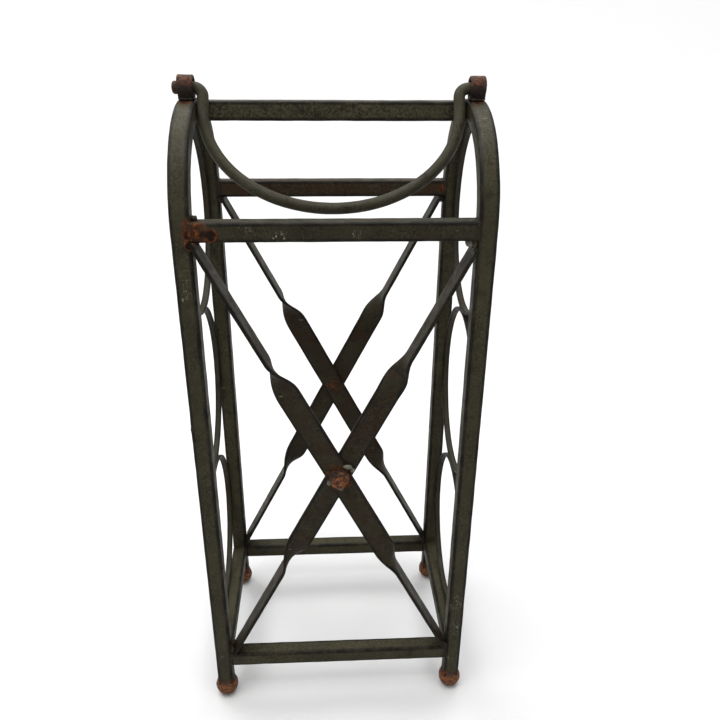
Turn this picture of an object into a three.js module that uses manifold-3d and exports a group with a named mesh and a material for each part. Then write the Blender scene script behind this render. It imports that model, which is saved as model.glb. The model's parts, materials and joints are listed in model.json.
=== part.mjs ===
// Wrought-iron umbrella stand: two arched side frames of square tube, joined by rails,
// with twisted flat braces front and back, oval rings in the sides and a swinging bail
// handle hung from two eyes on top. Millimetres, +Z up, +Y to the back, origin on the
// floor under the middle of the stand.

import * as THREE from 'three';
import { mergeVertices } from 'three/addons/utils/BufferGeometryUtils.js';
import Module from 'manifold-3d';

// Overall sizes
const STAND_WIDTH = 254;
const STAND_DEPTH = 183;
const TOP_RAIL_HEIGHT = 508;
const ARCH_SPRING_DROP = 9.5;

// Square tube of the frames and rails
const TUBE = 15.9;
const TUBE_WALL = 1.5;
const TUBE_EDGE_RADIUS = 2;
const BOTTOM_RAIL_HEIGHT = 59.6;
const CROWN_RAIL_DROP = 1.5;

// Ball feet
const FOOT_RADIUS = 11.8;
const FOOT_FLAT_RADIUS = 4;
const LEG_END_HEIGHT = 16.5;

// Twisted flat braces and the half-ball boss on each crossing
const BRACE_WIDTH = 22;
const BRACE_THICKNESS = 3.2;
const BRACE_FLAT_HALF = 86;
const BRACE_TWIST_END = 128;
const BOSS_RADIUS = 9.8;
const BOSS_HEIGHT = 11;

// How far sideways each hand-set brace lies from true: the outer one, then the inner one
const BRACE_DRIFT = { front: [-1, 4], back: [3, -1.8] };

// Oval rings in the side frames
const RINGS_PER_SIDE = 3;
const RING_STRIP_WIDTH = 6.4;
const RING_STRIP_THICKNESS = 3;

// Handle and its eyes
const ROD_DIAMETER = 9.5;
const EYE_CLEARANCE = 1.25;
const EYE_REST_GAP = 0.3;
const EYE_STRAP = 3.25;
const EYE_WIDTH = 13;
const EYE_FOOT_WIDTH = 12;
const EYE_FORWARD = 8;
const HANDLE_SIDE_CLEARANCE = 1.45;
const HANDLE_SHIFT = -0.9;
const HANDLE_BEND_RADIUS = 7.5;
const HANDLE_LEG = 20;
const HANDLE_DEPTH = 98.8;
const HANDLE_REST_CLEARANCE = 0.3;
const ROD_HEAD_RADIUS = 5.4;
const ROD_HEAD_LENGTH = 3;
const LEFT_END_PROUD = 4.9;
const RIGHT_END_PROUD = 0.9;

// Gap left where a weld bridges two pieces
const WELD_GAP = 0.3;

// Facets of the round shapes
const ARCH_FACETS = 24;
const RING_FACETS = 36;
const ROD_FACETS = 10;
const ROD_STEPS = 96;
const TURNED_FACETS = 20;
const EYE_FACETS = 24;
const TUBE_CORNER_FACETS = 2;
const ROD_HEAD_FACETS = 6;
const TWIST_STEP = 8;

const IRON = { color: 0x3f3e35, roughness: 0.62, metalness: 0.35 };
const BRACE_IRON = { color: 0x37342b, roughness: 0.6, metalness: 0.35 };
const ROD_IRON = { color: 0x4c4b40, roughness: 0.55, metalness: 0.4 };
const RUST = { color: 0x74401f, roughness: 0.85, metalness: 0.1 };

// Places that several pieces share
const legX = (STAND_WIDTH - TUBE) / 2;
const legY = (STAND_DEPTH - TUBE) / 2;
const insideX = STAND_WIDTH / 2 - TUBE;
const insideY = STAND_DEPTH / 2 - TUBE;
const archRadius = STAND_DEPTH / 2;
const springHeight = TOP_RAIL_HEIGHT - ARCH_SPRING_DROP;
const crownHeight = springHeight + archRadius;
const crownRailZ = crownHeight - TUBE / 2 - CROWN_RAIL_DROP;
const eyeHole = ROD_DIAMETER / 2 + EYE_CLEARANCE;
const eyeRadius = eyeHole + EYE_STRAP;
const eyeBaseZ = crownHeight + WELD_GAP;
const pivotZ = eyeBaseZ + eyeRadius - EYE_CLEARANCE + EYE_REST_GAP;

// Turns a profile drawn in X, Y and extruded along Z into one in Y, Z extruded along X.
const ALONG_X = new THREE.Quaternion(0.5, 0.5, 0.5, 0.5);

const wasm = await Module();
wasm.setup();

function toSolid(geometry) {
  const bare = geometry.clone();
  bare.deleteAttribute('normal');
  bare.deleteAttribute('uv');
  const merged = mergeVertices(bare);
  const vertProperties = new Float32Array(merged.attributes.position.array);
  const triVerts = new Uint32Array(merged.index.array);
  return new wasm.Manifold(new wasm.Mesh({ numProp: 3, vertProperties, triVerts }));
}

function toGeometry(solid) {
  const { vertProperties, triVerts } = solid.getMesh();
  const indexed = new THREE.BufferGeometry();
  indexed.setAttribute('position', new THREE.BufferAttribute(vertProperties, 3));
  indexed.setIndex(new THREE.BufferAttribute(triVerts, 1));
  const geometry = indexed.toNonIndexed();
  geometry.computeVertexNormals();
  return geometry;
}

function part(name, geometry, finish) {
  const mesh = new THREE.Mesh(geometry, new THREE.MeshStandardMaterial(finish));
  mesh.name = name;
  return mesh;
}

// Square outline with rounded corners, centred on the origin.
function roundedSquare(size, radius) {
  const half = size / 2;
  const flat = half - radius;
  const outline = new THREE.Shape();
  outline.absarc(flat, flat, radius, 0, Math.PI / 2);
  outline.absarc(-flat, flat, radius, Math.PI / 2, Math.PI);
  outline.absarc(-flat, -flat, radius, Math.PI, 1.5 * Math.PI);
  outline.absarc(flat, -flat, radius, 1.5 * Math.PI, 2 * Math.PI);
  return outline;
}

// Straight length of square tube, open at both ends, centred and lying along local Z.
function tubeLength(length) {
  const section = roundedSquare(TUBE, TUBE_EDGE_RADIUS);
  section.holes.push(roundedSquare(TUBE - 2 * TUBE_WALL, TUBE_EDGE_RADIUS / 2));
  const options = { depth: length, bevelEnabled: false, curveSegments: TUBE_CORNER_FACETS };
  return new THREE.ExtrudeGeometry(section, options).translate(0, 0, -length / 2);
}

function railAcross(name, y, z) {
  const geometry = tubeLength(2 * insideX).applyQuaternion(ALONG_X);
  const rail = part(name, geometry, IRON);
  rail.position.set(0, y, z);
  return rail;
}

function railAlong(name, x, z) {
  const geometry = tubeLength(2 * insideY).rotateX(-Math.PI / 2);
  const rail = part(name, geometry, IRON);
  rail.position.set(x, 0, z);
  return rail;
}

// Upside-down U outline in Y and Z between two radii, with legs down to the given height.
function archOutline(outer, inner, bottom) {
  const outline = new THREE.Shape();
  outline.moveTo(outer, bottom);
  outline.lineTo(outer, springHeight);
  outline.absarc(0, springHeight, outer, 0, Math.PI);
  outline.lineTo(-outer, bottom);
  outline.lineTo(-inner, bottom);
  outline.absarc(0, springHeight, inner, Math.PI, 0, true);
  outline.lineTo(inner, bottom);
  return outline;
}

// Side frame: one tube bent into legs and a half-round arch, hollow and open below.
function archFrame(name, x) {
  const radius = TUBE_EDGE_RADIUS;
  const skirt = 2 * radius;
  const outside = new THREE.ExtrudeGeometry(
    archOutline(archRadius, insideY, LEG_END_HEIGHT - skirt),
    {
      depth: TUBE - 2 * radius,
      bevelThickness: radius,
      bevelSize: radius,
      bevelOffset: -radius,
      bevelSegments: TUBE_CORNER_FACETS,
      curveSegments: ARCH_FACETS / 2,
    },
  );
  outside.translate(0, 0, radius - TUBE / 2);

  const boreDepth = TUBE - 2 * TUBE_WALL;
  const bore = new THREE.ExtrudeGeometry(
    archOutline(archRadius - TUBE_WALL, insideY + TUBE_WALL, LEG_END_HEIGHT - 2 * skirt),
    { depth: boreDepth, bevelEnabled: false, curveSegments: ARCH_FACETS / 2 },
  );
  bore.translate(0, 0, -boreDepth / 2);

  const floorCut = new THREE.BoxGeometry(2 * STAND_DEPTH, 2 * LEG_END_HEIGHT, 2 * TUBE);
  const solid = toSolid(outside).subtract(toSolid(floorCut)).subtract(toSolid(bore));
  const frame = part(name, toGeometry(solid).applyQuaternion(ALONG_X), IRON);
  frame.position.x = x;
  return frame;
}

// Ball foot, filed flat on top for the leg's end and worn flat underneath.
function ballFoot(name, x, y) {
  const centreZ = Math.sqrt(FOOT_RADIUS ** 2 - FOOT_FLAT_RADIUS ** 2);
  const start = -Math.acos(FOOT_FLAT_RADIUS / FOOT_RADIUS);
  const end = Math.asin((LEG_END_HEIGHT - centreZ) / FOOT_RADIUS);
  const ball = new THREE.EllipseCurve(0, centreZ, FOOT_RADIUS, FOOT_RADIUS, start, end);
  const profile = [
    new THREE.Vector2(0, 0),
    ...ball.getPoints(TURNED_FACETS / 2 - 1),
    new THREE.Vector2(0, LEG_END_HEIGHT),
  ];
  const turned = new THREE.LatheGeometry(profile, TURNED_FACETS).rotateX(Math.PI / 2);
  const foot = part(name, turned, RUST);
  foot.position.set(x, y, 0);
  return foot;
}

// Flat bar with a left-hand quarter twist towards each end, along local Z.
function twistedBar(length) {
  const section = new THREE.Shape();
  section.moveTo(-BRACE_WIDTH / 2, -BRACE_THICKNESS / 2);
  section.lineTo(BRACE_WIDTH / 2, -BRACE_THICKNESS / 2);
  section.lineTo(BRACE_WIDTH / 2, BRACE_THICKNESS / 2);
  section.lineTo(-BRACE_WIDTH / 2, BRACE_THICKNESS / 2);
  const bar = new THREE.ExtrudeGeometry(section, {
    depth: length,
    steps: Math.ceil(length / TWIST_STEP),
    bevelEnabled: false,
  });
  bar.translate(0, 0, -length / 2);

  const position = bar.attributes.position;
  const point = new THREE.Vector3();
  const axis = new THREE.Vector3(0, 0, 1);
  for (let i = 0; i < position.count; i += 1) {
    point.fromBufferAttribute(position, i);
    const along = Math.abs(point.z);
    const turned = THREE.MathUtils.smoothstep(along, BRACE_FLAT_HALF, BRACE_TWIST_END);
    point.applyAxisAngle(axis, -Math.sign(point.z) * turned * Math.PI / 2);
    position.setXYZ(i, point.x, point.y, point.z);
  }
  return bar;
}

// Two crossed braces and their boss, for the front panel; the back one is it turned round.
function bracedPanel(side) {
  const low = BOTTOM_RAIL_HEIGHT + WELD_GAP;
  const high = TOP_RAIL_HEIGHT - TUBE - WELD_GAP;
  const middle = (low + high) / 2;
  const halfWidth = insideX - WELD_GAP;
  const lean = Math.atan2(2 * halfWidth, high - low);
  const reach = Math.hypot(2 * halfWidth, high - low) + 2 * BRACE_WIDTH;
  const offset = (BRACE_THICKNESS + WELD_GAP) / 2;
  const opening = new THREE.BoxGeometry(2 * halfWidth, 2 * BRACE_WIDTH, high - low);
  const panel = new THREE.Group();

  const brace = (name, tilt, y, drift) => {
    const bar = twistedBar(reach).rotateY(tilt).translate(drift, 0, 0);
    const solid = toSolid(bar).intersect(toSolid(opening));
    const mesh = part(name, toGeometry(solid), BRACE_IRON);
    mesh.position.set(0, y - legY, middle);
    panel.add(mesh);
  };
  const [outer, inner] = BRACE_DRIFT[side];
  brace(`${side}_outer_brace`, -lean, -offset, outer);
  brace(`${side}_inner_brace`, lean, offset, inner);

  const dome = new THREE.EllipseCurve(0, 0, BOSS_RADIUS, BOSS_HEIGHT, 0, Math.PI / 2);
  const profile = [new THREE.Vector2(0, 0), ...dome.getPoints(TURNED_FACETS / 4)];
  profile.at(-1).x = 0;
  const boss = part(`${side}_boss`, new THREE.LatheGeometry(profile, TURNED_FACETS), RUST);
  boss.rotation.x = Math.PI;
  const crossing = middle + (outer - inner) / 2 / Math.tan(lean);
  const seat = -legY - offset - BRACE_THICKNESS / 2 - WELD_GAP;
  boss.position.set((outer + inner) / 2, seat, crossing);
  panel.add(boss);
  return panel;
}

// Oval ring of flat strip; the stack of rings fills the side frame under its arch. The top
// ring is never rounder than the crown it fits into.
function ovalRing(name, x, index) {
  const stackLow = BOTTOM_RAIL_HEIGHT;
  const stackHigh = crownHeight - TUBE;
  const pitch = (stackHigh - stackLow - WELD_GAP) / RINGS_PER_SIDE;
  const halfHeight = (pitch - WELD_GAP) / 2;
  const betweenLegs = insideY - WELD_GAP;
  const underCrown = Math.sqrt(halfHeight * betweenLegs);
  const topmost = index === RINGS_PER_SIDE - 1;
  const halfWidth = topmost ? Math.min(betweenLegs, underCrown) : betweenLegs;
  const oval = new THREE.Shape();
  oval.absellipse(0, 0, halfWidth, halfHeight, 0, 2 * Math.PI);
  const hole = new THREE.Path();
  const wall = RING_STRIP_THICKNESS;
  hole.absellipse(0, 0, halfWidth - wall, halfHeight - wall, 0, 2 * Math.PI);
  oval.holes.push(hole);

  const options = { depth: RING_STRIP_WIDTH, bevelEnabled: false, curveSegments: RING_FACETS / 2 };
  const strip = new THREE.ExtrudeGeometry(oval, options);
  strip.translate(0, 0, -RING_STRIP_WIDTH / 2).applyQuaternion(ALONG_X);
  const ring = part(name, strip, IRON);
  ring.position.set(x, 0, stackLow + WELD_GAP + pitch * index + halfHeight);
  return ring;
}

// Eye for the handle: thick strap bent round a hole, with a flat foot on the crown.
function handleEye(name, x) {
  const footAngle = 2 * Math.atan(EYE_FOOT_WIDTH / 2 / eyeRadius) - Math.PI / 2;
  const outline = new THREE.Shape();
  outline.moveTo(-EYE_FOOT_WIDTH / 2, 0);
  outline.lineTo(EYE_FOOT_WIDTH / 2, 0);
  outline.absarc(0, eyeRadius, eyeRadius, footAngle, Math.PI - footAngle);
  const hole = new THREE.Path();
  hole.absarc(0, eyeRadius, eyeHole, 0, 2 * Math.PI);
  outline.holes.push(hole);

  const options = { depth: EYE_WIDTH, bevelEnabled: false, curveSegments: EYE_FACETS / 2 };
  const strap = new THREE.ExtrudeGeometry(outline, options);
  strap.translate(0, 0, -EYE_WIDTH / 2).applyQuaternion(ALONG_X);
  const eye = part(name, strap, RUST);
  eye.position.set(x, -EYE_FORWARD, eyeBaseZ);
  return eye;
}

// Centre line of the handle in its own plane: through one eye, down, round and back up.
class HandleLine extends THREE.Curve {
  constructor(leftEnd, rightEnd) {
    super();
    const legs = insideX - ROD_DIAMETER / 2 - HANDLE_SIDE_CLEARANCE;
    const bend = HANDLE_BEND_RADIUS;
    const corner = legs + bend;
    this.flat = new THREE.Path();
    this.flat.moveTo(-leftEnd, 0);
    this.flat.lineTo(-corner, 0);
    this.flat.absarc(-corner, -bend, bend, Math.PI / 2, 0, true);
    this.flat.lineTo(-legs, -HANDLE_LEG);
    this.flat.absellipse(0, -HANDLE_LEG, legs, HANDLE_DEPTH - HANDLE_LEG, Math.PI, 2 * Math.PI);
    this.flat.lineTo(legs, -bend);
    this.flat.absarc(corner, -bend, bend, Math.PI, Math.PI / 2, true);
    this.flat.lineTo(rightEnd, 0);
  }

  getPoint(t, target = new THREE.Vector3()) {
    const { x, y } = this.flat.getPointAt(t);
    return target.set(x, 0, y);
  }
}

// Angle from hanging straight down at which the rod comes to rest on the crown rail.
function handleRestAngle() {
  const reach = ROD_DIAMETER / 2 + HANDLE_REST_CLEARANCE + TUBE_EDGE_RADIUS;
  const behind = EYE_FORWARD - TUBE / 2 + TUBE_EDGE_RADIUS;
  const below = pivotZ - (crownRailZ + TUBE / 2 - TUBE_EDGE_RADIUS);
  return Math.asin(reach / Math.hypot(behind, below)) - Math.atan2(behind, below);
}

// Bail handle: one round rod through both eyes, its longer left end hammered over.
function bailHandle(name) {
  const eyeFace = legX + EYE_WIDTH / 2;
  const leftEnd = eyeFace + LEFT_END_PROUD + HANDLE_SHIFT;
  const rightEnd = eyeFace + RIGHT_END_PROUD - HANDLE_SHIFT;
  const section = new THREE.Shape();
  section.absarc(0, 0, ROD_DIAMETER / 2, 0, 2 * Math.PI);
  const rod = new THREE.ExtrudeGeometry(section, {
    extrudePath: new HandleLine(leftEnd, rightEnd),
    steps: ROD_STEPS,
    curveSegments: ROD_FACETS / 2,
  });

  const half = ROD_HEAD_LENGTH / 2;
  const rim = new THREE.EllipseCurve(0, 0, ROD_HEAD_RADIUS, half, -Math.PI / 2, Math.PI / 2);
  const profile = rim.getPoints(ROD_HEAD_FACETS);
  profile.at(0).x = 0;
  profile.at(-1).x = 0;
  const head = new THREE.LatheGeometry(profile, ROD_FACETS).rotateZ(-Math.PI / 2);
  head.translate(half - leftEnd, 0, 0);

  const solid = toSolid(rod).add(toSolid(head));
  const handle = part(name, toGeometry(solid), ROD_IRON);
  handle.position.set(HANDLE_SHIFT, -EYE_FORWARD, pivotZ);
  handle.rotation.x = -handleRestAngle();
  return handle;
}

const stand = new THREE.Group();
stand.name = 'umbrella_stand';

for (const [side, sign] of [['left', -1], ['right', 1]]) {
  stand.add(archFrame(`${side}_arch_frame`, sign * legX));
  stand.add(railAlong(`${side}_bottom_rail`, sign * legX, BOTTOM_RAIL_HEIGHT - TUBE / 2));
  stand.add(handleEye(`${side}_handle_eye`, sign * legX));
  const ringX = sign * (STAND_WIDTH - RING_STRIP_WIDTH) / 2;
  ['lower', 'middle', 'upper'].forEach((level, index) => {
    stand.add(ovalRing(`${side}_${level}_ring`, ringX, index));
  });
}

for (const [side, sign] of [['front', -1], ['back', 1]]) {
  stand.add(railAcross(`${side}_top_rail`, sign * legY, TOP_RAIL_HEIGHT - TUBE / 2));
  stand.add(railAcross(`${side}_bottom_rail`, sign * legY, BOTTOM_RAIL_HEIGHT - TUBE / 2));
  stand.add(ballFoot(`${side}_left_foot`, -legX, sign * legY));
  stand.add(ballFoot(`${side}_right_foot`, legX, sign * legY));
  const panel = bracedPanel(side);
  panel.rotation.z = side === 'back' ? Math.PI : 0;
  stand.add(panel);
}

stand.add(railAcross('crown_rail', 0, crownRailZ));
stand.add(bailHandle('handle'));

export default stand;
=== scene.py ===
import json
import math

import bmesh
import bpy
from mathutils import Matrix, Vector, noise


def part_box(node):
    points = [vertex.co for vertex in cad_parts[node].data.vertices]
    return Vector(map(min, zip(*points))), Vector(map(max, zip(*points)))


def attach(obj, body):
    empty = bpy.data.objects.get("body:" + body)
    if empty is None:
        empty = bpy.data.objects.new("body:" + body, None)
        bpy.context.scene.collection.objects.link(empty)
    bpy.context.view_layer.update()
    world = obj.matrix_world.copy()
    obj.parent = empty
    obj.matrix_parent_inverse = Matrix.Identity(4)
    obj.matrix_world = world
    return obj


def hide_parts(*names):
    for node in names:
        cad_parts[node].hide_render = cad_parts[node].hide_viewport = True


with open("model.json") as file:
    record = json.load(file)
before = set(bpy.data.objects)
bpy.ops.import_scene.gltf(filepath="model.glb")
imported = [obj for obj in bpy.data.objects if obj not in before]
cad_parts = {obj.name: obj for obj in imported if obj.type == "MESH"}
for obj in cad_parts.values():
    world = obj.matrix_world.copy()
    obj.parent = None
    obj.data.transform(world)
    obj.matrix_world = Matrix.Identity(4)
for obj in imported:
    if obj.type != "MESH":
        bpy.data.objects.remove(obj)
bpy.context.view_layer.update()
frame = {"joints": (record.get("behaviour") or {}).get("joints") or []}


# Side arches: each side of the stand is one length of 16 mm square mild-steel tube,
# bent hot into an upside-down U. Bending and hammering leave the faces slightly uneven,
# and the iron carries a dark grey-green patina with brown patches and black specks.
TUBE = 0.0159
TUBE_CORNER = 0.0021
LEG_STEPS = 90
CROWN_STEPS = 52
leg_low, leg_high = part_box("left_arch_frame")
LEG_X = -(leg_low.x + leg_high.x) / 2
LEG_Y = leg_high.y - TUBE / 2
LEG_FOOT = leg_low.z
ARCH_SPRING = 0.4985
GREY = (0.0268, 0.0240, 0.0124)
BROWN = (0.0210, 0.0118, 0.0046)
BLACK = (0.003, 0.0025, 0.0015)
SCRATCHED = (0.14, 0.14, 0.115)
SCUFFED = (0.30, 0.30, 0.25)
STAIN_DARK = (0.036, 0.012, 0.005)
STAIN_BRIGHT = (0.17, 0.046, 0.008)
STAIN_HEART = (0.008, 0.003, 0.002)


def tube_face(bm):
    """Rounded square end of the tube, on the local floor plane."""
    bmesh.ops.create_grid(bm, x_segments=1, y_segments=1, size=TUBE / 2)
    bmesh.ops.bevel(
        bm, geom=list(bm.verts), affect="VERTICES", offset=TUBE_CORNER,
        segments=4, profile=0.5, material=-1,
    )
    flats = [e for e in bm.edges if e.calc_length() > TUBE / 2]
    bmesh.ops.bisect_edges(bm, edges=flats, cuts=3)
    return bm.faces[:][0]


def draw_out(bm, face, stations):
    """Draw an end face out into a bar through placed stations, as stock is drawn on an anvil."""
    bmesh.ops.transform(bm, matrix=stations[0], verts=face.verts)
    for here, there in zip(stations, stations[1:]):
        drawn = bmesh.ops.extrude_face_region(bm, geom=[face])
        face = next(g for g in drawn["geom"] if isinstance(g, bmesh.types.BMFace))
        bmesh.ops.transform(bm, matrix=there @ here.inverted(), verts=face.verts)


def hammer(bm, depth, size, seed=0.0):
    """Sink shallow hammer marks about size across into the surface; nothing is raised."""
    bm.normal_update()
    shift = Vector((seed * 0.37, seed * 0.73, seed * 1.19))
    marks = []
    for v in bm.verts:
        broad = noise.noise(v.co / size + shift)
        fine = noise.noise(v.co / (size * 0.35) + shift)
        marks.append(v.normal * (-depth * max(0.0, 0.32 + 0.45 * broad + 0.25 * fine)))
    for v, mark in zip(bm.verts, marks):
        v.co += mark


def forged(bm, name, finish, body, slot, *nodes):
    """Turn a finished bmesh into a smooth-shaded piece standing for its CAD nodes.

    Each vertex keeps its sharpest bend in a float attribute, for the painted shade along the
    corners.
    """
    bmesh.ops.remove_doubles(bm, verts=bm.verts, dist=1e-6)
    bmesh.ops.recalc_face_normals(bm, faces=bm.faces)
    shade_bend = bm.verts.layers.float.new("shade_bend")
    for v in bm.verts:
        bends = [e.calc_face_angle_signed(0) for e in v.link_edges if len(e.link_faces) == 2]
        v[shade_bend] = max(bends, default=0)
    mesh = bpy.data.meshes.new(name)
    bm.to_mesh(mesh)
    bm.free()
    mesh.shade_smooth()
    mesh.set_sharp_from_angle(angle=math.radians(42))
    mesh.materials.append(finish)
    piece = bpy.data.objects.new(name, mesh)
    bpy.context.scene.collection.objects.link(piece)
    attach(piece, body)
    if nodes:
        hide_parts(*nodes)


def blank_material(name):
    """A new material with nothing in its node tree."""
    made = bpy.data.materials.new(name)
    made.use_nodes = True
    made.node_tree.nodes.clear()
    return made


def add(tree, kind, inputs=None, **settings):
    """Add one node, set its properties, and link or set its inputs."""
    made = tree.nodes.new("ShaderNode" + kind)
    for key, value in settings.items():
        setattr(made, key, value)
    for key, value in (inputs or {}).items():
        if isinstance(value, bpy.types.NodeSocket):
            tree.links.new(value, made.inputs[key])
        else:
            made.inputs[key].default_value = value
    return made


def grain(tree, where, scale, detail=4.0, rough=0.6, stretch=(1, 1, 1), shift=(0, 0, 0)):
    """Noise of a given scale on the piece's own coordinates, from 0 to 1."""
    placed = add(tree, "Mapping", {"Vector": where, "Scale": stretch, "Location": shift})
    made = add(
        tree, "TexNoise",
        {"Vector": placed.outputs[0], "Scale": scale, "Detail": detail, "Roughness": rough},
    )
    return made.outputs["Fac"]


def cut(tree, value, low, high, to_low=0.0, to_high=1.0):
    """Stretch the part of a value between low and high over a new range."""
    made = add(
        tree, "MapRange",
        {"Value": value, "From Min": low, "From Max": high, "To Min": to_low, "To Max": to_high},
        interpolation_type="SMOOTHSTEP",
    )
    return made.outputs[0]


def times(tree, a, b):
    """The product of two values."""
    return add(tree, "Math", {0: a, 1: b}, operation="MULTIPLY").outputs[0]


def either(tree, a, b):
    """The larger of two values."""
    return add(tree, "Math", {0: a, 1: b}, operation="MAXIMUM").outputs[0]


def plus(tree, a, b):
    """The sum of two values."""
    return add(tree, "Math", {0: a, 1: b}, operation="ADD").outputs[0]


def paint(tree, under, over, amount):
    """Lay one colour over another by an amount."""
    made = add(tree, "Mix", {"Factor": amount}, data_type="RGBA")
    for socket, value in ((made.inputs[6], under), (made.inputs[7], over)):
        if isinstance(value, bpy.types.NodeSocket):
            tree.links.new(value, socket)
        else:
            socket.default_value = (*value, 1.0)
    return made.outputs[2]


def near(tree, where, spots):
    """Fade from 1 in the middle of each spot to 0 a little past its radius."""
    total = None
    for centre, radius in spots:
        gap = add(
            tree, "VectorMath", {0: where, 1: centre}, operation="DISTANCE",
        ).outputs["Value"]
        spot = cut(tree, gap, radius * 0.20, radius * 1.45, 1.0, 0.0)
        total = spot if total is None else either(tree, total, spot)
    return total


def surface(tree, colour, roughness, gloss, height, strength, distance):
    """Close a material with its shader, and with bump from a height."""
    bump = add(tree, "Bump", {"Height": height, "Strength": strength, "Distance": distance})
    shader = add(
        tree, "BsdfPrincipled",
        {"Base Color": colour, "Roughness": roughness, "Normal": bump.outputs[0],
         "Specular IOR Level": gloss},
    )
    add(tree, "OutputMaterial", {"Surface": shader.outputs[0]})


def patina(name, grey, brown, brownness, speckled, rust_spots=(), scuff_spots=(), seed=0.0,
           shade_corners=True):
    """Waxed black-grey patina on wrought iron, with fine grain, brown bloom, pits and rust, and,
    unless turned off, painted shade along the corners.
    """
    made = blank_material(name)
    tree = made.node_tree
    where = add(tree, "TexCoord").outputs["Object"]
    shift = (seed, seed * 0.7, seed * 1.3)

    cloud = cut(tree, grain(tree, where, 19, 4, 0.6, shift=shift), 0.34, 0.66)
    colour = paint(tree, tuple(c * 0.78 for c in grey), tuple(c * 1.16 for c in grey), cloud)
    bloom = cut(tree, grain(tree, where, 34, 6, 0.7, shift=(seed + 3, 1, 2)),
                0.66 - brownness * 0.36, 0.80 - brownness * 0.26)
    colour = paint(tree, colour, brown, times(tree, bloom, 0.85))
    speckle = grain(tree, where, 560, 4, 0.72, shift=shift)
    crowd = cut(tree, grain(tree, where, 26, 3, 0.6, shift=(seed, 7, 3)), 0.36, 0.62,
                speckled * 0.35, speckled)
    colour = paint(tree, colour, tuple(c * 1.9 for c in grey),
                   times(tree, cut(tree, speckle, 0.51, 0.64), crowd))
    colour = paint(tree, colour, BLACK, times(tree, cut(tree, speckle, 0.49, 0.38), crowd))
    patches = grain(tree, where, 85, 4, 0.65, shift=(seed, 4, 6))
    colour = paint(tree, colour, BLACK, times(tree, cut(tree, patches, 0.56, 0.70), 0.45))
    pits = add(
        tree, "TexVoronoi", {"Vector": where, "Scale": 310.0, "Randomness": 1.0},
    ).outputs["Distance"]
    pitted = times(tree, cut(tree, pits, 0.26, 0.12), cut(tree, patches, 0.52, 0.60))
    colour = paint(tree, colour, BLACK, times(tree, pitted, 0.8))

    scratch = cut(tree, grain(tree, where, 170, 2, 0.5, stretch=(0.30, 1, 2.2),
                              shift=(seed, 5, 9)), 0.76, 0.80)
    colour = paint(tree, colour, SCRATCHED, times(tree, scratch, 0.6))
    if scuff_spots:
        torn = cut(tree, grain(tree, where, 520, 3, 0.8, stretch=(1.2, 1, 0.55)), 0.58, 0.66)
        scuffed = times(tree, near(tree, where, scuff_spots), torn)
        colour = paint(tree, colour, SCUFFED, times(tree, scuffed, 0.75))
    # Painted shade: the convex corners are darkened towards black, in uneven strength.
    if shade_corners:
        corner = add(tree, "Attribute", attribute_name="shade_bend").outputs["Fac"]
        corner_shade_amount = cut(tree, grain(tree, where, 60, 5, 0.75), 0.36, 0.60, 0.40, 0.95)
        colour = paint(tree, colour, BLACK, times(tree, cut(tree, corner, 0.09, 0.20), corner_shade_amount))
    roughness = cut(tree, grain(tree, where, 75, 4, 0.65), 0.3, 0.7, 0.46, 0.66)
    height = plus(tree, speckle, times(tree, pitted, -1.2))
    if rust_spots:
        bite = cut(tree, grain(tree, where, 95, 5, 0.75, shift=(seed, 1, 1)), 0.25, 0.75,
                   0.15, 1.5)
        mass = times(tree, near(tree, where, rust_spots), bite)
        rusted = cut(tree, mass, 0.08, 0.70, 0.0, 0.94)
        flakes = grain(tree, where, 260, 5, 0.8, shift=(4, seed, 2))
        rust = paint(tree, STAIN_DARK, STAIN_BRIGHT, cut(tree, flakes, 0.47, 0.66))
        rust = paint(tree, rust, STAIN_HEART, cut(tree, mass, 0.60, 0.90))
        colour = paint(tree, colour, rust, rusted)
        roughness = plus(tree, roughness, times(tree, rusted, 0.3))
        height = plus(tree, height, times(tree, rusted, flakes))
    surface(tree, colour, roughness, 0.10, height, 0.5, 0.0004)
    return made


frame_iron = patina(
    "frame_iron", GREY, BROWN, 0.30, 0.55,
    rust_spots=[((-0.1135, -0.0915, 0.507), 0.0050), ((-0.1130, -0.0915, 0.499), 0.0058),
                ((-0.1125, -0.0915, 0.490), 0.0048),
                ((-0.119, -0.018, 0.588), 0.0055), ((0.119, -0.018, 0.588), 0.0045),
                ((-0.119, -0.0900, 0.014), 0.013), ((0.119, -0.0900, 0.014), 0.013),
                ((-0.119, 0.0836, 0.012), 0.020), ((0.119, 0.0836, 0.012), 0.020)],
    scuff_spots=[((-0.1195, -0.0915, 0.464), 0.007), ((-0.1205, -0.0915, 0.450), 0.006),
                 ((0.1175, -0.0915, 0.122), 0.012), ((0.119, -0.0915, 0.086), 0.010),
                 ((0.117, -0.0915, 0.044), 0.005), ((-0.121, -0.0915, 0.056), 0.003)],
)


def arch_stations(x):
    """Up the front leg, over the half-round top and down the back leg."""
    stations = []
    for i in range(LEG_STEPS):
        z = LEG_FOOT + (ARCH_SPRING - LEG_FOOT) * i / LEG_STEPS
        stations.append(Matrix.Translation((x, -LEG_Y, z)))
    for i in range(CROWN_STEPS + 1):
        turn = math.pi * i / CROWN_STEPS
        place = (x, -LEG_Y * math.cos(turn), ARCH_SPRING + LEG_Y * math.sin(turn))
        stations.append(Matrix.Translation(place) @ Matrix.Rotation(-turn, 4, "X"))
    for i in range(1, LEG_STEPS + 1):
        z = ARCH_SPRING + (LEG_FOOT - ARCH_SPRING) * i / LEG_STEPS
        stations.append(
            Matrix.Translation((x, LEG_Y, z)) @ Matrix.Rotation(-math.pi, 4, "X")
        )
    return stations


for side, x in (("left", -LEG_X), ("right", LEG_X)):
    bm = bmesh.new()
    draw_out(bm, tube_face(bm), arch_stations(x))
    hammer(bm, 0.00045, 0.017, seed=LEG_X + x * 9)
    forged(bm, f"arch_{side}", frame_iron, "frame", "painted_iron", f"{side}_arch_frame")


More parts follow.
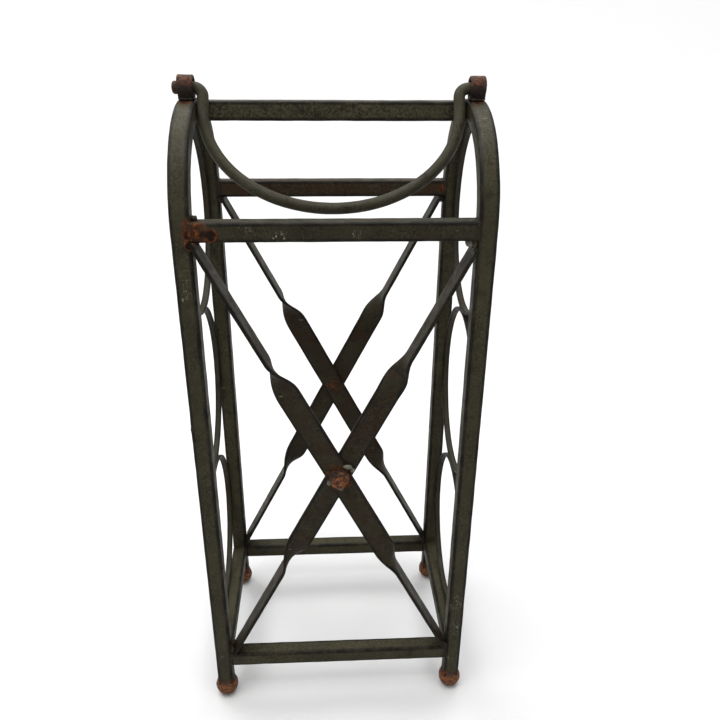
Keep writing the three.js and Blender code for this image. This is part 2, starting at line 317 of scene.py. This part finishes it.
# Rails: seven cut lengths of the same square tube, butted between the legs and welded.
# Two tie each side at the foot, four make the front and back panels, and the crown rail
# joins the tops of the arches. The back ones are browner, where less wax was rubbed in.
RAIL_IN_LEG = 0.0021
RAIL_STEP = 0.0045
back_iron = patina(
    "back_iron", (0.0200, 0.0165, 0.0085), (0.0220, 0.0108, 0.0040), 0.85, 0.7,
    rust_spots=[((0.109, 0.0756, 0.500), 0.005)], seed=4.0,
)
crown_iron = patina("crown_iron", (0.0302, 0.0272, 0.0145), BROWN, 0.3, 1.0, seed=9.0)
# The front top rail's grey is painted darker than the frame's, as painted shadow across it; its
# rust spots and scuffs are real.
shadowed_front_rail_iron = patina(
    "shadowed_front_rail_iron", (0.0195, 0.0172, 0.0088), BROWN, 0.25, 0.75,
    rust_spots=[((-0.1050, -0.0915, 0.5005), 0.0090), ((-0.0965, -0.0915, 0.498), 0.0062),
                ((-0.110, -0.0836, 0.508), 0.005)],
    scuff_spots=[((-0.0685, -0.0915, 0.5053), 0.005), ((-0.0437, -0.0915, 0.4967), 0.006),
                 ((0.0161, -0.0915, 0.497), 0.005)],
    seed=2.0,
)
X_WAY = Matrix.Rotation(math.pi / 2, 4, "Y")
Y_WAY = Matrix.Rotation(-math.pi / 2, 4, "X")


def rail_between(node, way, name, finish, seed):
    """A length of tube along X or Y in the place of one CAD rail, let into the legs."""
    low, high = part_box(node)
    middle = (low + high) / 2
    span = max(high.x - low.x, high.y - low.y) + 2 * RAIL_IN_LEG
    steps = round(span / RAIL_STEP)
    stations = []
    for i in range(steps + 1):
        along = way @ Vector((0, 0, span * (i / steps - 0.5)))
        stations.append(Matrix.Translation(middle + along) @ way)
    bm = bmesh.new()
    draw_out(bm, tube_face(bm), stations)
    hammer(bm, 0.0004, 0.015, seed)
    forged(bm, name, finish, "frame", "painted_iron", node)


for node, way, name, finish, seed in (
    ("left_bottom_rail", Y_WAY, "rail_left_low", frame_iron, 1.1),
    ("right_bottom_rail", Y_WAY, "rail_right_low", frame_iron, 2.1),
    ("front_top_rail", X_WAY, "rail_front_top", shadowed_front_rail_iron, 3.1),
    ("front_bottom_rail", X_WAY, "rail_front_low", frame_iron, 4.1),
    ("back_top_rail", X_WAY, "rail_back_top", back_iron, 5.1),
    ("back_bottom_rail", X_WAY, "rail_back_low", frame_iron, 6.1),
    ("crown_rail", X_WAY, "rail_crown", crown_iron, 7.1),
):
    rail_between(node, way, name, finish, seed)


# Oval rings: three to a side, each a strip of 6 by 3 mm flat iron rolled into an oval and
# welded shut. They sit flush with the outer faces of the arch and fill it from the bottom
# rail to the crown. Their edges are only lightly dressed.
RING_STRIP = 0.003
RING_EDGE = 0.0007
# How far each place where rings touch lies from true, from the bottom rail up
SEATS = {"left": (0, 0, 0, 0), "right": (0, -0.0038, -0.0032, 0)}
# How far each ring stands sideways of true, from the lower one up
OUTWARD = {"left": (-0.0030, -0.0034, 0), "right": (0, 0, 0)}
ring_iron = patina("ring_iron", (0.0200, 0.0180, 0.0099), BROWN, 0.45, 0.4, seed=12.0)

for side in ("left", "right"):
    for index, level in enumerate(("lower", "middle", "upper")):
        node = f"{side}_{level}_ring"
        low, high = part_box(node)
        low.z += SEATS[side][index]
        high.z += SEATS[side][index + 1]
        middle = (low + high) / 2
        wide = (high.y - low.y) / 2 + 0.0002
        tall = (high.z - low.z) / 2 + 0.0001
        bm = bmesh.new()
        bmesh.ops.create_circle(
            bm, cap_ends=False, segments=112, radius=1, matrix=X_WAY,
        )
        bmesh.ops.scale(bm, vec=(1, wide, tall), verts=bm.verts)
        inner = bmesh.ops.extrude_edge_only(bm, edges=bm.edges[:])["geom"]
        inner = [g for g in inner if isinstance(g, bmesh.types.BMVert)]
        shrink = (1, 1 - RING_STRIP / wide, 1 - RING_STRIP / tall)
        bmesh.ops.scale(bm, vec=shrink, verts=inner)
        bmesh.ops.translate(bm, vec=(low.x, middle.y, middle.z), verts=bm.verts)
        flat = bmesh.ops.extrude_face_region(bm, geom=bm.faces[:])["geom"]
        flat = [g for g in flat if isinstance(g, bmesh.types.BMVert)]
        bmesh.ops.translate(bm, vec=(high.x - low.x, 0, 0), verts=flat)
        bmesh.ops.translate(bm, vec=(OUTWARD[side][index], 0, 0), verts=bm.verts)
        arrises = [
            e for e in bm.edges
            if abs(e.verts[0].co.x - e.verts[1].co.x) < 1e-6
            and len(e.link_faces) == 2 and e.calc_face_angle(0) > 1.0
        ]
        bmesh.ops.bevel(
            bm, geom=arrises, affect="EDGES", offset=RING_EDGE, segments=2, profile=0.5,
            material=-1,
        )
        across = [e for e in bm.edges if abs(e.verts[0].co.x - e.verts[1].co.x) > 0.0040]
        bmesh.ops.subdivide_edges(bm, edges=across, cuts=3)
        hammer(bm, 0.00025, 0.012, seed=index + LEG_X + high.x * 40)
        forged(bm, f"oval_{side}_{level}", ring_iron, "frame", "painted_iron", node)


# Twisted braces: two flat bars of 22 by 3 mm cross in the front panel and two in the back.
# Each is flat over its middle and has a left-hand quarter twist towards both ends, so it
# meets the frame on edge. One bar lies over the other and they are welded at the crossing.
BRACE_WIDTH = 0.022
BRACE_THICK = 0.0032
BRACE_EDGE = 0.0008
FLAT_HALF = 0.086
TWIST_END = 0.128
BRACE_GAP = 0.0003
END_LET_IN = 0.0006
BRACE_STEPS = 150
# How far sideways each hand-set bar lies from true: the one on top, then the one under it
DRIFT = {"front": (-0.001, 0.004), "back": (0.003, -0.0018)}
low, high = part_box("front_outer_brace")
PANEL_LOW = low.z
PANEL_HIGH = high.z
PANEL_HALF = high.x
PANEL_MIDDLE = (PANEL_LOW + PANEL_HIGH) / 2
BOSSES = {panel: sum(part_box(f"{panel}_boss"), Vector()) / 2 for panel in ("front", "back")}
brace_iron = patina(
    "brace_iron", (0.0172, 0.0146, 0.0074), (0.0165, 0.0085, 0.0034), 0.70, 0.55,
    rust_spots=[(BOSSES["front"], 0.0155), (BOSSES["back"], 0.0145)],
    scuff_spots=[((0.0115, -0.087, 0.292), 0.003), ((0.108, -0.0836, 0.487), 0.006),
                 ((-0.098, -0.0836, 0.468), 0.005)],
    seed=21.0,
)


def twist_at(along):
    """Share of the quarter twist made at a distance from the middle of the bar."""
    share = min(max((abs(along) - FLAT_HALF) / (TWIST_END - FLAT_HALF), 0), 1)
    share = share * share * (3 - 2 * share)
    return -math.copysign(share, along) * math.pi / 2


def twisted_brace(name, node, lean, x, y, about, seed):
    """One bar, leaning by an angle through the middle of its panel, cut to the frame."""
    reach = math.hypot(2 * PANEL_HALF, PANEL_HIGH - PANEL_LOW) / 2 + BRACE_WIDTH
    stations = []
    for i in range(BRACE_STEPS + 1):
        along = reach * (2 * i / BRACE_STEPS - 1)
        bar = Matrix.Translation((x, y, PANEL_MIDDLE)) @ Matrix.Rotation(lean, 4, "Y")
        bar = about @ bar @ Matrix.Translation((0, 0, along))
        stations.append(bar @ Matrix.Rotation(twist_at(along), 4, "Z"))
    bm = bmesh.new()
    bmesh.ops.create_grid(bm, x_segments=1, y_segments=1, size=0.5)
    bmesh.ops.scale(bm, vec=(BRACE_WIDTH, BRACE_THICK, 1), verts=bm.verts)
    bmesh.ops.bevel(
        bm, geom=list(bm.verts), affect="VERTICES", offset=BRACE_EDGE, segments=3,
        profile=0.5, material=-1,
    )
    wide = [e for e in bm.edges if e.calc_length() > BRACE_WIDTH / 2]
    bmesh.ops.bisect_edges(bm, edges=wide, cuts=5)
    draw_out(bm, bm.faces[:][0], stations)
    for point, way in (
        ((PANEL_HALF + END_LET_IN, 0, 0), (1, 0, 0)),
        ((-PANEL_HALF - END_LET_IN, 0, 0), (-1, 0, 0)),
        ((0, 0, PANEL_HIGH + END_LET_IN), (0, 0, 1)),
        ((0, 0, PANEL_LOW - END_LET_IN), (0, 0, -1)),
    ):
        sliced = bmesh.ops.bisect_plane(
            bm, geom=bm.verts[:] + bm.edges[:] + bm.faces[:], plane_co=point,
            plane_no=way, clear_outer=True,
        )
        rim = [g for g in sliced["geom_cut"] if isinstance(g, bmesh.types.BMEdge)]
        bmesh.ops.edgenet_fill(bm, edges=rim)
    hammer(bm, 0.0003, 0.014, seed)
    forged(bm, name, brace_iron, "frame", "brace_iron", node)


lean = math.atan2(2 * PANEL_HALF, PANEL_HIGH - PANEL_LOW)
half_step = (BRACE_THICK + BRACE_GAP) / 2
STRAIGHT = Matrix.Identity(4)
TURNED = Matrix.Rotation(math.pi, 4, "Z")
for panel, about, seed in (("front", STRAIGHT, 31.0), ("back", TURNED, 47.0)):
    over, under = DRIFT[panel]
    twisted_brace(f"brace_{panel}_over", f"{panel}_outer_brace", -lean, over,
                  -LEG_Y - half_step, about, seed)
    twisted_brace(f"brace_{panel}_under", f"{panel}_inner_brace", lean, under,
                  -LEG_Y + half_step, about, seed + 5)


# Bosses: a half ball of iron, hammered round and welded over each crossing of the braces.
# They were left bare and have rusted orange-brown.
BOSS_LET_IN = 0.0006
SCALE_DULL = (0.045, 0.0145, 0.0050)
SCALE_BRIGHT = (0.200, 0.064, 0.018)
SCALE_CRUMBS = (0.48, 0.200, 0.080)
HOLLOWS = (0.006, 0.004, 0.003)
SHADED = (0.009, 0.006, 0.004)
PAINTED_HIGHLIGHT = (0.080, 0.044, 0.024)


def scaled_rust(name, seed, strength, dark_from=None, dark_to=None, highlight_from=None):
    """Brown scale with orange crumbs and black hollows; the strength scales its colours.

    Where heights are given, it has painted shade below dark_to and a painted highlight on the
    top, above the last height.
    """
    made = blank_material(name)
    tree = made.node_tree
    where = add(tree, "TexCoord").outputs["Object"]
    lumps = grain(tree, where, 210, 5, 0.7, shift=(seed, 3, 1))
    crust = grain(tree, where, 560, 5, 0.8, shift=(1, seed, 2))
    dull, bright, crumbs = (
        [strength * c for c in shade] for shade in (SCALE_DULL, SCALE_BRIGHT, SCALE_CRUMBS)
    )
    colour = paint(tree, dull, bright, cut(tree, lumps, 0.40, 0.56))
    colour = paint(tree, colour, crumbs,
                   times(tree, cut(tree, crust, 0.53, 0.64), cut(tree, lumps, 0.47, 0.62)))
    colour = paint(tree, colour, HOLLOWS, times(tree, cut(tree, crust, 0.47, 0.37), 0.9))
    shade = cut(tree, grain(tree, where, 70, 4, 0.7, shift=(2, 8, seed)), 0.47, 0.60)
    # Painted shade on the lower part and a painted highlight on the top, both set by height.
    if highlight_from is not None:
        rise = add(tree, "SeparateXYZ", {0: where}).outputs["Z"]
        shade = either(tree, times(tree, shade, 0.5), cut(tree, rise, dark_from, dark_to))
        highlight = times(tree, cut(tree, rise, highlight_from, highlight_from + 0.004),
                       cut(tree, crust, 0.35, 0.6))
        colour = paint(tree, colour, PAINTED_HIGHLIGHT, times(tree, highlight, 0.8))
    colour = paint(tree, colour, SHADED, times(tree, shade, 0.93))
    roughness = cut(tree, crust, 0.3, 0.7, 0.90, 0.60)
    surface(tree, colour, roughness, 0.22, plus(tree, crust, lumps), 0.9, 0.0010)
    return made


boss_rust = scaled_rust("boss_rust", 5.0, 0.78)

for panel, facing in (("front", -1), ("back", 1)):
    low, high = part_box(f"{panel}_boss")
    radius = (high.x - low.x) / 2
    seat = high.y if facing < 0 else low.y
    bm = bmesh.new()
    bmesh.ops.create_uvsphere(bm, u_segments=40, v_segments=28, radius=1)
    bmesh.ops.scale(bm, vec=(radius, high.y - low.y, radius), verts=bm.verts)
    bmesh.ops.bisect_plane(
        bm, geom=bm.verts[:] + bm.edges[:] + bm.faces[:],
        plane_co=(0, -facing * BOSS_LET_IN, 0), plane_no=(0, -facing, 0), clear_outer=True,
    )
    bmesh.ops.holes_fill(bm, edges=bm.edges[:], sides=0)
    bmesh.ops.translate(
        bm, vec=((low.x + high.x) / 2, seat, (low.z + high.z) / 2), verts=bm.verts
    )
    hammer(bm, 0.0015, 0.0050, seed=3.0 + facing)
    forged(bm, f"boss_{panel}", boss_rust, "frame", "rusted_iron", f"{panel}_boss")


# Ball feet: solid iron balls forged on to the leg ends, worn flat underneath. Weld metal
# was built up round the neck, so each runs up to the leg like a pear. They have rusted,
# most of all where they stand.
FOOT_CENTRE = 0.0111
FOOT_FLAT = 0.0042
FOOT_NECK = 0.0235
foot_rust = blank_material("foot_rust")
tree = foot_rust.node_tree
where = add(tree, "TexCoord").outputs["Object"]
height_up = add(tree, "SeparateXYZ", {0: where}).outputs["Z"]
runs = grain(tree, where, 150, 5, 0.7, stretch=(1, 1, 3.2))
crust = grain(tree, where, 540, 5, 0.8)
dull, bright = (0.042, 0.0140, 0.0045), (0.140, 0.045, 0.0130)
crumbs, neck_grey = (0.31, 0.135, 0.055), (0.022, 0.0172, 0.0092)
colour = paint(tree, dull, bright, cut(tree, runs, 0.40, 0.60))
colour = paint(tree, colour, crumbs, times(tree, cut(tree, crust, 0.53, 0.64), 0.75))
colour = paint(tree, colour, HOLLOWS, times(tree, cut(tree, crust, 0.47, 0.37), 0.9))
ragged_height = plus(tree, height_up, times(tree, runs, 0.012))
colour = paint(tree, colour, neck_grey, cut(tree, ragged_height, 0.0210, 0.0280))
roughness = cut(tree, crust, 0.3, 0.7, 0.90, 0.62)
surface(tree, colour, roughness, 0.25, plus(tree, crust, runs), 0.9, 0.0009)

for seed, corner in enumerate(("front_left", "front_right", "back_left", "back_right")):
    low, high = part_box(f"{corner}_foot")
    radius = (high.x - low.x) / 2
    centre = Vector(((low.x + high.x) / 2, (low.y + high.y) / 2, FOOT_CENTRE))
    bm = bmesh.new()
    last = bm.verts.new((0, 0, 0))
    rims = [(FOOT_FLAT, 0.0)]
    for i in range(1, 19):
        turn = math.radians(-69 + i * 6)
        rims.append((radius * math.cos(turn), centre.z + radius * math.sin(turn)))
    rims += [(0.0098, 0.0182), (0.0091, 0.0200), (0.0086, 0.0220), (0.0083, FOOT_NECK)]
    rims.append((0.0, FOOT_NECK))
    for rim, z in rims:
        point = bm.verts.new((rim, 0, z))
        bm.edges.new((last, point))
        last = point
    bmesh.ops.spin(
        bm, geom=bm.verts[:] + bm.edges[:], cent=(0, 0, 0), axis=(0, 0, 1),
        angle=2 * math.pi, steps=44, use_merge=True,
    )
    bmesh.ops.remove_doubles(bm, verts=bm.verts, dist=1e-5)
    bmesh.ops.recalc_face_normals(bm, faces=bm.faces)
    bmesh.ops.translate(bm, vec=(centre.x, centre.y, 0), verts=bm.verts)
    standing = {v for v in bm.verts if v.co.z < 1e-4}
    hammer(bm, 0.0010, 0.0062, seed=11.0 + seed)
    for v in standing:
        v.co.z = 0.0
    forged(bm, f"foot_{corner}", foot_rust, "frame", "rusted_iron", f"{corner}_foot")


# Handle eyes: a thick iron strap bent into a ring on top of each arch, with its joint
# welded down flat. The rod turns in it. The outside is rusted, with a painted highlight
# on the top and painted shade underneath.
EYE_HOLE = 0.0060
EYE_FLAT = 0.0026
EYE_LET_IN = 0.0004
EYE_EDGE = 0.0011
# Eye rust: painted shade underneath and a painted highlight on top, set by height.
eye_rust = scaled_rust(
    "eye_rust", 9.0, 0.42, dark_from=0.6040, dark_to=0.5985, highlight_from=0.6055
)

for side, seed in (("left", 5.0), ("right", 8.0)):
    low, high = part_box(f"{side}_handle_eye")
    radius = (high.y - low.y) / 2
    middle = Vector((low.x, (low.y + high.y) / 2, low.z + radius))
    bm = bmesh.new()
    upright = Matrix.Translation(middle) @ X_WAY
    outer = bmesh.ops.create_circle(
        bm, cap_ends=False, segments=48, radius=radius, matrix=upright
    )["verts"]
    bmesh.ops.create_circle(bm, cap_ends=False, segments=48, radius=EYE_HOLE, matrix=upright)
    bmesh.ops.bridge_loops(bm, edges=bm.edges[:])
    for v in outer:
        if v.co.z < low.z + EYE_FLAT:
            v.co.z = low.z - EYE_LET_IN
    wall = bmesh.ops.extrude_face_region(bm, geom=bm.faces[:])["geom"]
    wall = [g for g in wall if isinstance(g, bmesh.types.BMVert)]
    bmesh.ops.translate(bm, vec=(high.x - low.x, 0, 0), verts=wall)
    bmesh.ops.recalc_face_normals(bm, faces=bm.faces)
    arrises = [
        e for e in bm.edges
        if abs(e.verts[0].co.x - e.verts[1].co.x) < 1e-6 and e.calc_face_angle(0) > 1.0
    ]
    bmesh.ops.bevel(
        bm, geom=arrises, affect="EDGES", offset=EYE_EDGE, segments=3, profile=0.5, material=-1
    )
    across = [e for e in bm.edges if abs(e.verts[0].co.x - e.verts[1].co.x) > 0.006]
    bmesh.ops.subdivide_edges(bm, edges=across, cuts=7)
    hammer(bm, 0.0006, 0.0058, seed)
    forged(bm, f"eye_{side}", eye_rust, "frame", "rusted_iron", f"{side}_handle_eye")


# Carrying handle: one length of 9.5 mm round bar, bent to a deep U with its ends turned out
# through the eyes. The left end stands out and was hammered over. It hangs forward against
# the crown rail, and hands have rubbed it a little greyer and smoother than the frame.
ROD = 0.00485
ROD_SPAN = 0.1049
ROD_SHIFT = -0.0009
BEND = 0.0075
LEG = 0.020
DEPTH = 0.0988
RAIL_EDGE = 0.002
ROD_TO_EDGE = 0.00505
PIVOT = Vector(frame["joints"][0]["pos_m"])
rod_low, rod_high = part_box("handle")
low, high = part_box("crown_rail")
behind = low.y + RAIL_EDGE - PIVOT.y
below = PIVOT.z - (high.z - RAIL_EDGE)
lean_out = math.asin((RAIL_EDGE + ROD_TO_EDGE) / math.hypot(behind, below))
rest = lean_out - math.atan2(behind, below)
rod_iron = patina(
    "rod_iron", (0.0290, 0.0268, 0.0160), (0.0250, 0.0155, 0.0075), 0.35, 0.4,
    rust_spots=[((-0.1300, -0.008, 0.5986), 0.0068)], seed=33.0, shade_corners=False,
)


def rod_stations():
    """Places along the bar, from the hammered left end to the right end."""
    line = []
    start = rod_low.x - ROD_SHIFT
    end = rod_high.x - ROD_SHIFT
    corner = ROD_SPAN + BEND
    for along, swell in ((0, 0.46), (0.0004, 0.80), (0.0010, 0.97), (0.0019, 1.06),
                         (0.0029, 1.08), (0.0038, 1.06), (0.0046, 1.0), (0.0058, 1.0),
                         (0.0085, 1.0), (0.0120, 1.0)):
        line.append((start + along, 0.0, 90.0, swell))
    for i in range(11):
        turn = math.radians(9 * i)
        line.append((-corner + BEND * math.sin(turn), BEND * math.cos(turn) - BEND,
                     90.0 + 9 * i, 1.0))
    line.append((-ROD_SPAN, -0.0115, 180.0, 1.0))
    line.append((-ROD_SPAN, -0.0155, 180.0, 1.0))
    for i in range(93):
        turn = math.pi * (1 + i / 92)
        slope = math.atan2(-ROD_SPAN * math.sin(turn), (DEPTH - LEG) * math.cos(turn))
        line.append((ROD_SPAN * math.cos(turn), (DEPTH - LEG) * math.sin(turn) - LEG,
                     math.degrees(slope) % 360, 1.0))
    line.append((ROD_SPAN, -0.0155, 0.0, 1.0))
    line.append((ROD_SPAN, -0.0115, 0.0, 1.0))
    for i in range(11):
        turn = math.radians(9 * i)
        line.append((corner - BEND * math.cos(turn), BEND * math.sin(turn) - BEND,
                     9.0 * i, 1.0))
    for back, swell in ((0.0100, 1.0), (0.0060, 1.0), (0.0020, 1.0), (0.0008, 0.98),
                        (0.0003, 0.90), (0.0, 0.70)):
        line.append((end - back, 0.0, 90.0, swell))
    hung = Matrix.Translation((ROD_SHIFT, PIVOT.y, PIVOT.z)) @ Matrix.Rotation(-rest, 4, "X")
    return [
        hung @ Matrix.Translation((x, 0, z)) @ Matrix.Rotation(math.radians(a), 4, "Y")
        @ Matrix.Scale(s, 4, (1, 0, 0)) @ Matrix.Scale(s, 4, (0, 1, 0))
        for x, z, a, s in line
    ]


bm = bmesh.new()
bmesh.ops.create_circle(bm, cap_ends=True, segments=28, radius=ROD)
draw_out(bm, bm.faces[:][0], rod_stations())
hammer(bm, 0.00022, 0.011, seed=17.0)
forged(bm, "carrying_rod", rod_iron, "handle", "handle_iron", "handle")


# Welds: every joint was closed with short rippled beads and left as it cooled. Beads run
# round the rail ends and the feet of the eyes; single blobs hold the rings, the brace ends
# and the bosses. Most were painted over, and a few stayed pale.
BEAD = 0.00115
RIPPLE = 0.0017
BEAD_STEP = 0.0007
BEAD_SINK = 0.0006
weld_iron = patina(
    "weld_iron", (0.0150, 0.0127, 0.0068), (0.030, 0.0150, 0.007), 0.6, 0.5,
    rust_spots=[((-0.109, -0.0915, 0.500), 0.008)],
    scuff_spots=[((0.108, -0.0836, 0.487), 0.009)],
    seed=51.0, shade_corners=False,
)
pale_weld = patina(
    "pale_weld", (0.104, 0.100, 0.082), (0.06, 0.038, 0.022), 0.3, 0.5,
    seed=57.0, shade_corners=False,
)


def bead(bm, start, end, size=BEAD, seed=0.0):
    """One straight run of weld, thick where each drop of metal froze."""
    start, end = Vector(start), Vector(end)
    way = (end - start).to_track_quat("Z", "Y").to_matrix().to_4x4()
    run = (end - start).length
    steps = max(6, round(run / BEAD_STEP))
    stations = []
    for i in range(steps + 1):
        along = run * i / steps
        drop = abs(math.sin(math.pi * along / RIPPLE + seed))
        thick = 0.80 + 0.22 * drop + 0.25 * noise.noise(
            (start + (end - start) * i / steps) * 260 + Vector((seed, 0, 0))
        )
        ends = min(1.0, 0.35 + 1.1 * min(along, run - along) / 0.0016)
        s = thick * ends
        place = Matrix.Translation(start + (end - start) * i / steps) @ way
        stations.append(place @ Matrix.Scale(s, 4, (1, 0, 0)) @ Matrix.Scale(s, 4, (0, 1, 0)))
    made = bmesh.ops.create_circle(bm, cap_ends=True, segments=10, radius=size)["verts"]
    draw_out(bm, made[0].link_faces[0], stations)


def blob(bm, place, size, seed=0.0):
    """A single drop of weld metal, uneven all over."""
    made = bmesh.ops.create_icosphere(bm, subdivisions=3, radius=1)["verts"]
    for v in made:
        v.co *= 1 + 0.28 * noise.noise(v.co * 1.3 + Vector((seed, seed * 2, 0)))
        v.co *= 1 + 0.12 * noise.noise(v.co * 3.4 + Vector((0, seed, seed)))
    bmesh.ops.scale(bm, vec=size, verts=made)
    bmesh.ops.translate(bm, vec=place, verts=made)


bm = bmesh.new()
for node in ("front_top_rail", "front_bottom_rail", "back_top_rail", "back_bottom_rail",
             "crown_rail"):
    low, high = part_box(node)
    for x in (low.x + 0.0002, high.x - 0.0002):
        seed = x * 31 + low.z * 7 + low.y * 3
        near_y, far_y = low.y + BEAD_SINK, high.y - BEAD_SINK
        for z in (low.z + BEAD_SINK, high.z - BEAD_SINK):
            bead(bm, (x, near_y + 0.001, z), (x, far_y - 0.001, z), BEAD, seed + z)
        for y in (near_y, far_y):
            bead(bm, (x, y, low.z + 0.0015), (x, y, high.z - 0.0015), BEAD * 0.85, seed + y)
for node in ("left_bottom_rail", "right_bottom_rail"):
    low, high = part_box(node)
    for y in (low.y + 0.0002, high.y - 0.0002):
        seed = y * 27 + low.x * 5
        for z in (low.z + BEAD_SINK, high.z - BEAD_SINK):
            bead(bm, (low.x + 0.0016, y, z), (high.x - 0.0016, y, z), BEAD, seed + z)
        for x in (low.x + BEAD_SINK, high.x - BEAD_SINK):
            bead(bm, (x, y, low.z + 0.0015), (x, y, high.z - 0.0015), BEAD * 0.85, seed + x)
for side in ("left", "right"):
    for index, level in enumerate(("lower", "middle", "upper")):
        low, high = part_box(f"{side}_{level}_ring")
        x = (low.x + high.x) / 2 + OUTWARD[side][index]
        z = (low.z + high.z) / 2
        for y in (low.y, high.y):
            blob(bm, (x, y, z + 0.001 * index), (0.0030, 0.0017, 0.0062), seed=y * 50 + z * 9)
        blob(bm, (x, 0.0, low.z + SEATS[side][index]), (0.0029, 0.0060, 0.0016), seed=z * 21)
    blob(bm, (x, 0.0, high.z), (0.0029, 0.0070, 0.0018), seed=z * 23)
    low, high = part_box(f"{side}_handle_eye")
    edge = 0.0007
    for x in (low.x + edge, high.x - edge):
        bead(bm, (x, low.y + 0.004, low.z), (x, high.y - 0.004, low.z), 0.0009, seed=x * 77)
    middle = (low.y + high.y) / 2
    for y in (middle - 0.0062, middle + 0.0062):
        bead(bm, (low.x + 0.001, y, low.z), (high.x - 0.001, y, low.z - 0.0002), 0.0013,
             seed=y * 91)
for facing in (-1, 1):
    for sign_x in (-1, 1):
        for z, up in ((PANEL_LOW, 1), (PANEL_HIGH, -1)):
            over = (sign_x * facing > 0) == (up < 0)
            y = facing * (LEG_Y + (half_step if over else -half_step))
            place = (sign_x * (PANEL_HALF - 0.0012), y - 0.004 * facing, z + up * 0.0022)
            blob(bm, place, (0.0030, 0.0042, 0.0036), seed=z * 13 + sign_x)
            place = (sign_x * (PANEL_HALF - 0.0012), y + 0.006 * facing, z + up * 0.0026)
            blob(bm, place, (0.0026, 0.0036, 0.0040), seed=z * 17 + facing + sign_x)
blob(bm, (-0.1094, -0.0815, 0.5085), (0.0029, 0.0036, 0.0032), seed=2.2)
forged(bm, "welds", weld_iron, "frame", "painted_iron")

bm = bmesh.new()
for x, z, wide, tall, seed in (
    (0.0080, 0.0118, 0.0042, 0.0022, 1.0),
    (0.0122, 0.0080, 0.0018, 0.0022, 5.0),
    (-0.0092, -0.0052, 0.0022, 0.0024, 2.0),
    (-0.0040, -0.0084, 0.0022, 0.0016, 7.0),
    (0.0014, -0.0112, 0.0026, 0.0026, 3.0),
):
    for panel, facing in (("front", -1), ("back", 1)):
        place = (BOSSES[panel].x - facing * x,
                 facing * (LEG_Y + half_step + BRACE_THICK / 2 + 0.0004), BOSSES[panel].z + z)
        blob(bm, place, (wide, 0.0018, tall), seed=seed + facing)
blob(bm, (0.1066, -0.0850, 0.4892), (0.0042, 0.0046, 0.0032), seed=6.0)
forged(bm, "welds_pale", pale_weld, "frame", "brace_iron")


# Stage: a plain pale floor that sweeps up into a wall all round, one large soft light
# overhead with a weak one in front, and the camera.
FLOOR_RADIUS = 3.0
WALL_HEIGHT = 4
SWEEP_RADIUS = 1.9
floor_paint = bpy.data.materials.new("floor_paint")
floor_paint.use_nodes = True
floor_inputs = floor_paint.node_tree.nodes["Principled BSDF"].inputs
floor_inputs["Base Color"].default_value = (0.50, 0.50, 0.50, 1.0)
floor_inputs["Roughness"].default_value = 0.95
bm = bmesh.new()
bmesh.ops.create_circle(bm, cap_ends=True, segments=72, radius=FLOOR_RADIUS)
rim = bm.edges[:]
wall = bmesh.ops.extrude_edge_only(bm, edges=rim)["geom"]
wall = [g for g in wall if isinstance(g, bmesh.types.BMVert)]
bmesh.ops.translate(bm, vec=(0, 0, WALL_HEIGHT), verts=wall)
bmesh.ops.bevel(
    bm, geom=rim, affect="EDGES", offset=SWEEP_RADIUS, segments=16, profile=0.5, material=-1
)
bmesh.ops.recalc_face_normals(bm, faces=bm.faces)
mesh = bpy.data.meshes.new("floor")
bm.to_mesh(mesh)
bm.free()
mesh.shade_smooth()
mesh.materials.append(floor_paint)
floor = bpy.data.objects.new("floor", mesh)
bpy.context.scene.collection.objects.link(floor)

world = bpy.data.worlds.new("studio")
world.use_nodes = True
sky_inputs = world.node_tree.nodes["Background"].inputs
sky_inputs["Color"].default_value = (1.0, 1.0, 1.0, 1.0)
sky_inputs["Strength"].default_value = 0.42
bpy.context.scene.world = world
bpy.context.scene.view_settings.view_transform = "Standard"

for name, place, aim, size, power in (
    ("overhead_light", (-0.3, 0.3, 2.8), (0, 0.3, 0), 3.4, 205),
    ("front_light", (-1.3, -1.9, 1.7), (0, 0, 0.3), 1.4, 7),
):
    lamp = bpy.data.lights.new(name, "AREA")
    lamp.shape = "SQUARE"
    lamp.size = size
    lamp.energy = power
    light = bpy.data.objects.new(name, lamp)
    light.location = place
    light.rotation_euler = (Vector(aim) - Vector(place)).to_track_quat("-Z", "Y").to_euler()
    bpy.context.scene.collection.objects.link(light)

CAMERA_PLACE = Vector((-0.0103, -0.6239, 0.6400))
PITCH = math.radians(24.98)
YAW = -0.0554
ROLL = -0.0081
forward = Vector((
    -math.sin(YAW) * math.cos(PITCH), math.cos(YAW) * math.cos(PITCH), -math.sin(PITCH),
))
right = Vector((math.cos(YAW), math.sin(YAW), 0))
down = forward.cross(right)
right, down = (
    math.cos(ROLL) * right + math.sin(ROLL) * down,
    -math.sin(ROLL) * right + math.cos(ROLL) * down,
)
view = Matrix((right, -down, -forward)).transposed().to_4x4()
lens = bpy.data.cameras.new("camera")
lens.lens = 35.15
lens.sensor_width = 36
lens.clip_start = 0.02
camera = bpy.data.objects.new("camera", lens)
camera.matrix_world = Matrix.Translation(CAMERA_PLACE) @ view
bpy.context.scene.collection.objects.link(camera)
bpy.context.scene.camera = camera
